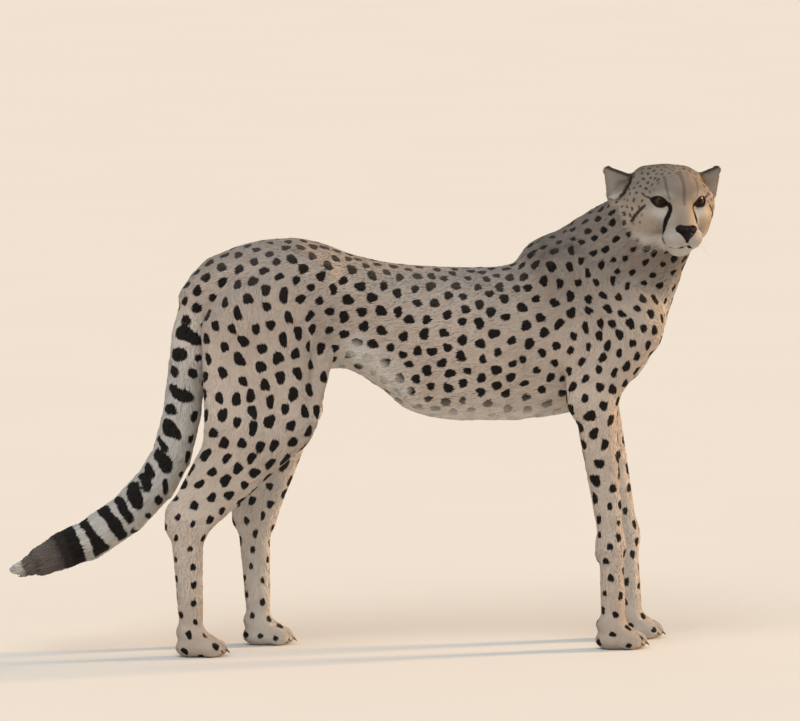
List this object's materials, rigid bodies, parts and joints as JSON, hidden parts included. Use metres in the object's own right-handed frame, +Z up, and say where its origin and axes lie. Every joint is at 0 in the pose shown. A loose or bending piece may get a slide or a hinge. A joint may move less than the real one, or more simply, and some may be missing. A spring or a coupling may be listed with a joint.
{
  "type": "cheetah",
  "caption": "Standing adult cheetah, life size, head turned to its right, tail hanging in a long curve, for a museum-type display.",
  "frame": {"origin": "middle of the footprint of the whole animal, on the floor between the feet", "axes": "+X along the body towards the chest, +Y to the animal's left, +Z up"},
  "size_m": [1.2498, 0.2734, 0.85],
  "materials": {
    "coat": "short dense tawny fur with near-black spots, whitish below",
    "eye": "clear wet amber-brown eye",
    "nose": "damp dark bare skin of nose, lids and lips",
    "claw": "smooth dark horn"
  },
  "bodies": {
    "root": {"ear_left": "coat", "ear_right": "coat", "eye_left": "eye", "eye_right": "eye", "fore_foot_left": "coat", "fore_foot_right": "coat", "forearm_left": "coat", "forearm_right": "coat", "head": "coat", "hind_foot_left": "coat", "hind_foot_right": "coat", "neck": "coat", "shank_left": "coat", "shank_right": "coat", "tail_end": "coat", "tail_middle": "coat", "tail_root": "coat", "thigh_left": "coat", "thigh_right": "coat", "torso": "coat", "upper_arm_left": "coat", "upper_arm_right": "coat"}
  },
  "joints": []
}
